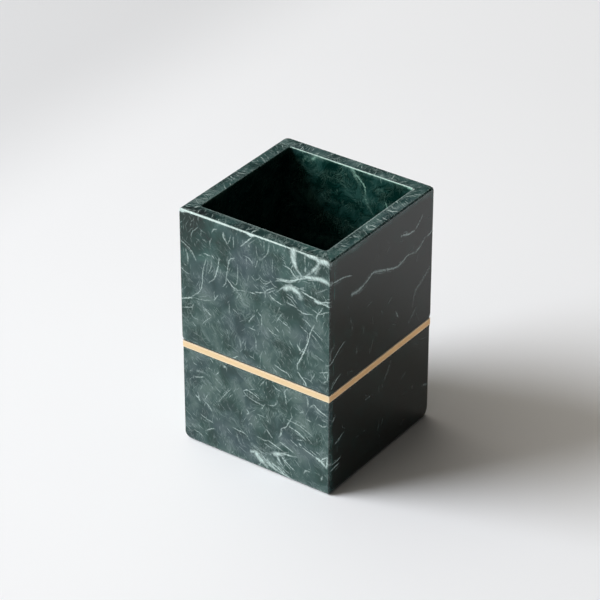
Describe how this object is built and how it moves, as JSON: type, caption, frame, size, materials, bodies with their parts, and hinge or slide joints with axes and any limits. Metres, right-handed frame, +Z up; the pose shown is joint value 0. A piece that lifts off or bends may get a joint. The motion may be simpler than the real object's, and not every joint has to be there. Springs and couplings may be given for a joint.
{
  "type": "pen holder",
  "caption": "Square open-topped pen cup of green marble slabs in two tiers, with a mitred brass band between them and a felt base.",
  "frame": {"origin": "centre of the square footprint, on the underside of the felt that it stands on", "axes": "+Z up, out of the open top; -Y is the face on the left in the picture and +X the face on the right"},
  "size_m": [0.07, 0.07, 0.105],
  "materials": {
    "green_marble": "satin",
    "brushed_brass": "satin",
    "black_felt": "matte"
  },
  "bodies": {
    "root": {"upper_wall_front": "green_marble", "upper_wall_right": "green_marble", "upper_wall_back": "green_marble", "upper_wall_left": "green_marble", "lower_wall_front": "green_marble", "lower_wall_right": "green_marble", "lower_wall_back": "green_marble", "lower_wall_left": "green_marble", "brass_strip_front": "brushed_brass", "brass_strip_right": "brushed_brass", "brass_strip_back": "brushed_brass", "brass_strip_left": "brushed_brass", "floor_slab": "green_marble", "felt_base_pad": "black_felt"}
  },
  "joints": []
}
